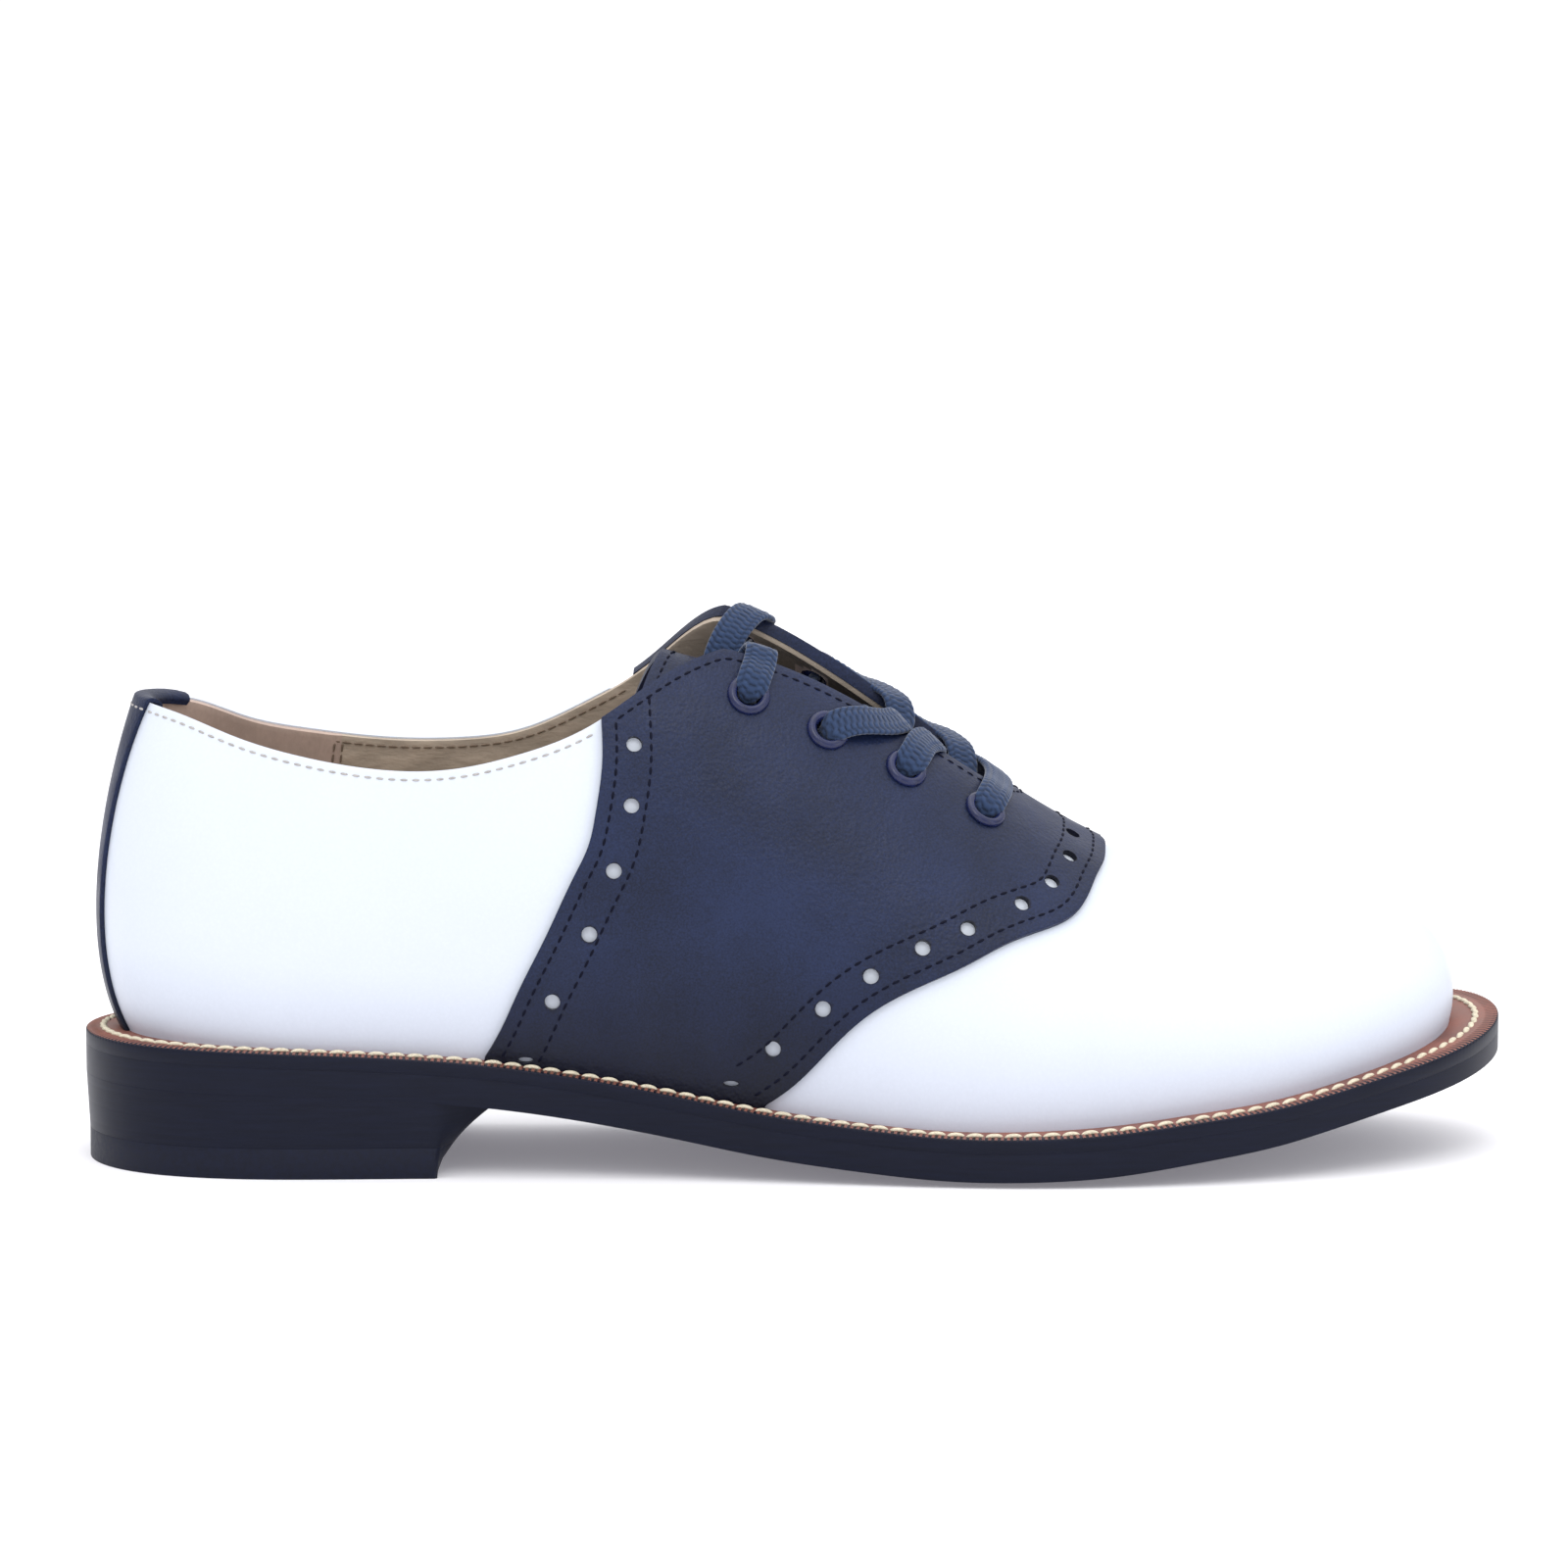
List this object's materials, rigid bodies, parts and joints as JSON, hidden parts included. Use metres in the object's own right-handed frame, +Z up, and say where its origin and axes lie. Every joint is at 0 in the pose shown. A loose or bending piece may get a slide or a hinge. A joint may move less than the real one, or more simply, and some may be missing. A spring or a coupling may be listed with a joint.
{
  "type": "saddle shoe",
  "caption": "Right laced saddle shoe: white leather upper, navy saddle with punched edges, stitched leather sole and low block heel.",
  "frame": {"origin": "middle of the shoe's outline, at the floor", "axes": "+X toward the toe, +Y toward the inner (medial) side, +Z up"},
  "size_m": [0.279, 0.0976, 0.1094],
  "materials": {
    "white_leather": "smooth white leather with a soft gloss",
    "navy_leather": "fine-grained navy leather with a soft sheen",
    "painted_edge": "dark navy edge dressing on stacked leather, satin",
    "welt_leather": "brown leather ledge, wheeled and stitched",
    "lining_leather": "beige lining leather, matt",
    "navy_enamel": "navy enamelled metal",
    "navy_cotton": "flat woven cotton lace, matt",
    "tread_rubber": "black rubber, matt"
  },
  "bodies": {
    "root": {"outsole": "painted_edge", "midsole": "welt_leather", "heel": "painted_edge", "top_piece": "tread_rubber", "insole": "lining_leather", "upper": "white_leather", "saddle": "navy_leather", "heel_strip": "navy_leather", "tongue": "navy_leather", "laces": "navy_cotton", "eyelet_lateral_1": "navy_enamel", "eyelet_lateral_2": "navy_enamel", "eyelet_lateral_3": "navy_enamel", "eyelet_lateral_4": "navy_enamel", "eyelet_medial_1": "navy_enamel", "eyelet_medial_2": "navy_enamel", "eyelet_medial_3": "navy_enamel", "eyelet_medial_4": "navy_enamel"}
  },
  "joints": []
}
